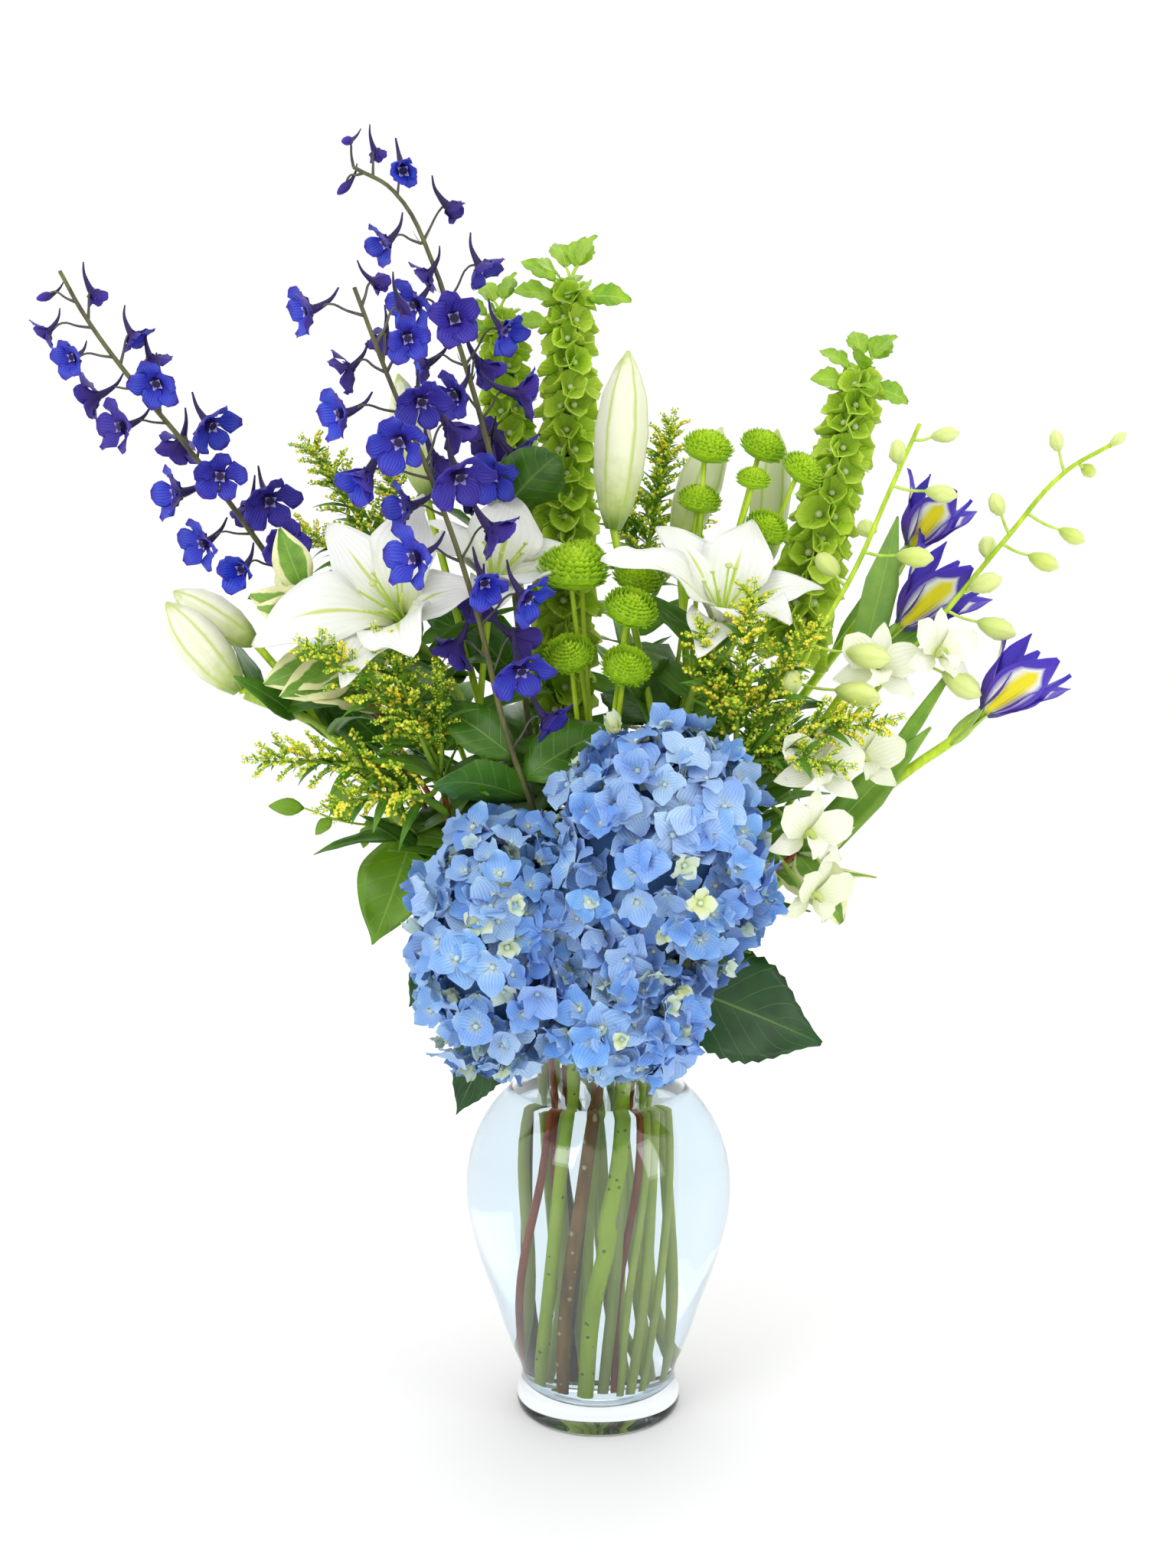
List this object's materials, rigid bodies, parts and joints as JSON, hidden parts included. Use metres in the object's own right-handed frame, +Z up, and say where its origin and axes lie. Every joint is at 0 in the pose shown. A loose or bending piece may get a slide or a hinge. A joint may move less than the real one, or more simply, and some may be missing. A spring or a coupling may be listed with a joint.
{
  "type": "flower arrangement in vase",
  "caption": "Tall mixed bouquet with dense blue hydrangea heads, flower spikes, lilies and foliage, its stems standing in water in a clear round-bellied glass vase.",
  "frame": {"origin": "centre of the flat underside of the vase's foot", "axes": "+Z up along the vase's axis; the front of the bouquet faces -Y, +X is to the right seen from the front"},
  "size_m": [0.5802, 0.249, 0.7192],
  "materials": {
    "glass": "clear, polished",
    "water": "clear water",
    "hydrangea_petals": "soft petals",
    "delphinium_petals": "soft petals",
    "bell_cups": "papery cups",
    "lily_petals": "waxy petals",
    "lily_buds": "smooth green stems and buds",
    "mum_petals": "soft petals",
    "goldenrod_florets": "fine florets",
    "orchid_petals": "waxy petals and buds",
    "iris_petals": "soft petals",
    "green_stems": "green stems and leaves",
    "variegated_leaves": "leaves with cream edges",
    "green_leaves": "leaves"
  },
  "bodies": {
    "root": {"vase": "glass", "water": "water", "hydrangea_head_right": "hydrangea_petals", "hydrangea_head_left": "hydrangea_petals", "hydrangea_head_low": "hydrangea_petals", "hydrangea_stem_right": "green_stems", "hydrangea_stem_left": "green_stems", "hydrangea_stem_low": "green_stems", "delphinium_front": "delphinium_petals", "delphinium_tall": "delphinium_petals", "delphinium_left": "delphinium_petals", "bells_of_ireland_tall": "bell_cups", "bells_of_ireland_small": "bell_cups", "bells_of_ireland_right": "bell_cups", "lily_bloom_left": "lily_petals", "lily_bloom_middle": "lily_petals", "lily_bloom_right": "lily_petals", "lily_stem_left": "lily_buds", "lily_stem_right": "lily_buds", "lily_stem_far_left": "lily_buds", "button_mums_front": "mum_petals", "button_mums_right": "mum_petals", "goldenrod_left": "goldenrod_florets", "goldenrod_right": "goldenrod_florets", "goldenrod_back_right": "goldenrod_florets", "goldenrod_back_left": "goldenrod_florets", "orchid_spike_near": "orchid_petals", "orchid_spike_far": "orchid_petals", "iris_bloom_back": "iris_petals", "iris_bloom_middle": "iris_petals", "iris_bloom_low": "iris_petals", "iris_stem_back": "green_stems", "iris_stem_middle": "green_stems", "iris_stem_low": "green_stems", "variegated_left": "variegated_leaves", "variegated_right": "variegated_leaves", "foliage_left": "green_leaves"}
  },
  "joints": []
}
